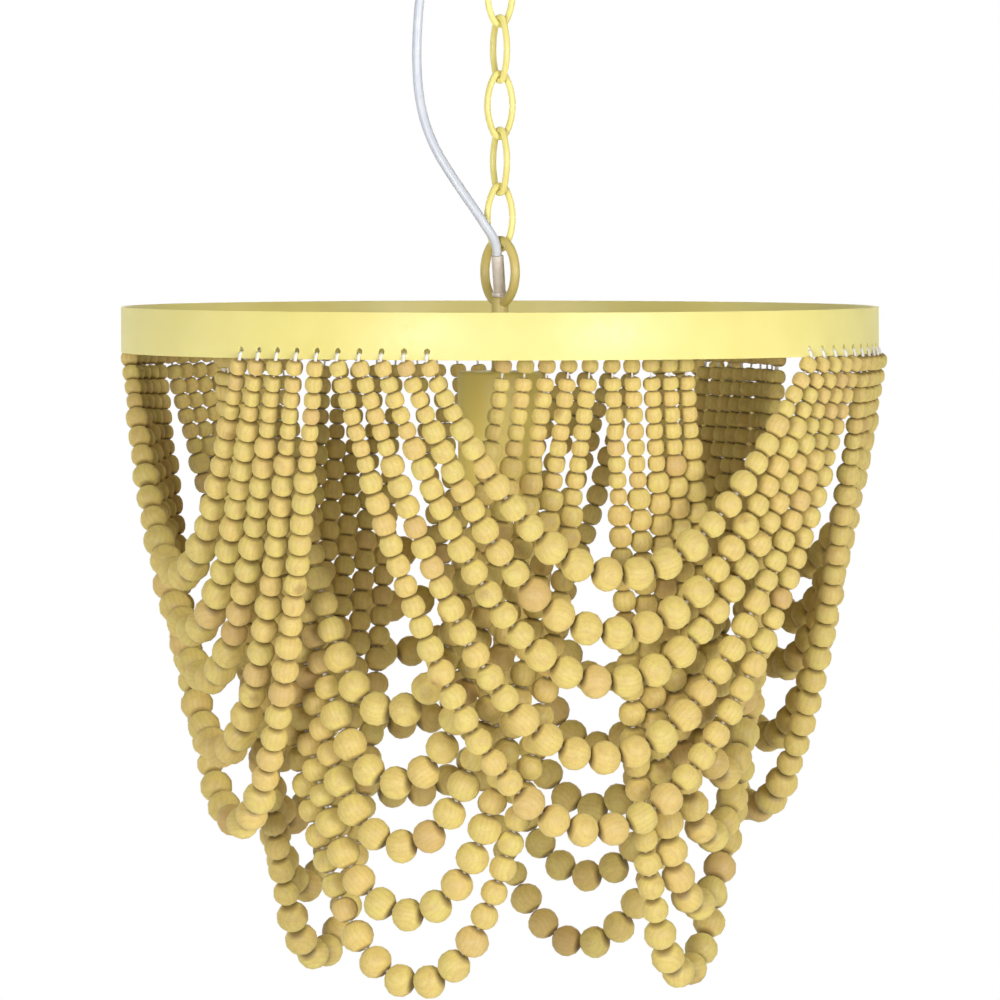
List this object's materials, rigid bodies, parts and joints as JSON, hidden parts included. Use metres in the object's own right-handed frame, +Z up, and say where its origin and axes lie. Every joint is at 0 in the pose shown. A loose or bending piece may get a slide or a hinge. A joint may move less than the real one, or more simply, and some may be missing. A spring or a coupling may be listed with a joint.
{
  "type": "beaded chandelier",
  "caption": "Pendant chandelier: wooden bead strands hang in swags from an outer band and an inner ring round a lamp holder, on a free-swinging link chain with its cord.",
  "frame": {"origin": "centre of the ceiling plate's upper face, on the ceiling, above the chain", "axes": "+Z up; the middles of the outer swags lie near +X, +Y, -X and -Y and those of the inner swags between them"},
  "size_m": [0.45, 0.45, 0.6634],
  "materials": {
    "frame_paint": "satin pale yellow paint",
    "chain_paint": "satin pale yellow paint",
    "loop_paint": "satin olive yellow paint",
    "wood_bead": "unfinished smooth turned wood",
    "clear_sleeve": "cloudy plastic",
    "cord_sheath": "smooth white plastic sheath",
    "socket_plastic": "white moulded plastic",
    "shell_brass": "plain pressed brass"
  },
  "bodies": {
    "ceiling": {"ceiling_plate": "frame_paint", "ceiling_cup": "frame_paint", "ceiling_hook": "chain_paint", "cord_gland": "clear_sleeve"},
    "link_1": {"chain_link_1": "chain_paint"},
    "link_2": {"chain_link_2": "chain_paint"},
    "link_3": {"chain_link_3": "chain_paint"},
    "link_4": {"chain_link_4": "chain_paint"},
    "link_5": {"chain_link_5": "chain_paint"},
    "lamp": {"stem_loop": "loop_paint", "stem": "frame_paint", "cord_grip": "clear_sleeve", "stem_nut": "frame_paint", "cross_frame": "frame_paint", "outer_band": "frame_paint", "inner_ring": "frame_paint", "holder_cup": "frame_paint", "holder_socket": "socket_plastic", "screw_shell": "shell_brass", "cord": "cord_sheath", "outer_swag_1_strand_1": "wood_bead", "outer_swag_1_strand_2": "wood_bead", "outer_swag_1_strand_3": "wood_bead", "outer_swag_1_strand_4": "wood_bead", "outer_swag_1_strand_5": "wood_bead", "outer_swag_2_strand_1": "wood_bead", "outer_swag_2_strand_2": "wood_bead", "outer_swag_2_strand_3": "wood_bead", "outer_swag_2_strand_4": "wood_bead", "outer_swag_2_strand_5": "wood_bead", "outer_swag_3_strand_1": "wood_bead", "outer_swag_3_strand_2": "wood_bead", "outer_swag_3_strand_3": "wood_bead", "outer_swag_3_strand_4": "wood_bead", "outer_swag_3_strand_5": "wood_bead", "outer_swag_4_strand_1": "wood_bead", "outer_swag_4_strand_2": "wood_bead", "outer_swag_4_strand_3": "wood_bead", "outer_swag_4_strand_4": "wood_bead", "outer_swag_4_strand_5": "wood_bead", "inner_swag_1_strand_1": "wood_bead", "inner_swag_1_strand_2": "wood_bead", "inner_swag_1_strand_3": "wood_bead", "inner_swag_1_strand_4": "wood_bead", "inner_swag_1_strand_5": "wood_bead", "inner_swag_2_strand_1": "wood_bead", "inner_swag_2_strand_2": "wood_bead", "inner_swag_2_strand_3": "wood_bead", "inner_swag_2_strand_4": "wood_bead", "inner_swag_2_strand_5": "wood_bead", "inner_swag_3_strand_1": "wood_bead", "inner_swag_3_strand_2": "wood_bead", "inner_swag_3_strand_3": "wood_bead", "inner_swag_3_strand_4": "wood_bead", "inner_swag_3_strand_5": "wood_bead", "inner_swag_4_strand_1": "wood_bead", "inner_swag_4_strand_2": "wood_bead", "inner_swag_4_strand_3": "wood_bead", "inner_swag_4_strand_4": "wood_bead", "inner_swag_4_strand_5": "wood_bead"}
  },
  "joints": [
    {"name": "hook_to_link_1", "type": "hinge", "parent": "ceiling", "child": "link_1", "pos_m": [0, 0, -0.0644], "axis": [0.1478, -0.989, 0], "range_deg": [-20, 20], "deforming": ["cord"]},
    {"name": "link_1_to_link_2", "type": "hinge", "parent": "link_1", "child": "link_2", "pos_m": [0, 0, -0.0974], "axis": [0.989, 0.1478, 0], "range_deg": [-20, 20]},
    {"name": "link_2_to_link_3", "type": "hinge", "parent": "link_2", "child": "link_3", "pos_m": [0, 0, -0.1307], "axis": [0.1478, -0.989, 0], "range_deg": [-20, 20]},
    {"name": "link_3_to_link_4", "type": "hinge", "parent": "link_3", "child": "link_4", "pos_m": [0, 0, -0.164], "axis": [0.989, 0.1478, 0], "range_deg": [-20, 20]},
    {"name": "link_4_to_link_5", "type": "hinge", "parent": "link_4", "child": "link_5", "pos_m": [0, 0, -0.1973], "axis": [0.1478, -0.989, 0], "range_deg": [-20, 20]},
    {"name": "link_5_to_loop", "type": "hinge", "parent": "link_5", "child": "lamp", "pos_m": [0, 0, -0.2306], "axis": [0.989, 0.1478, 0], "range_deg": [-20, 20]}
  ]
}
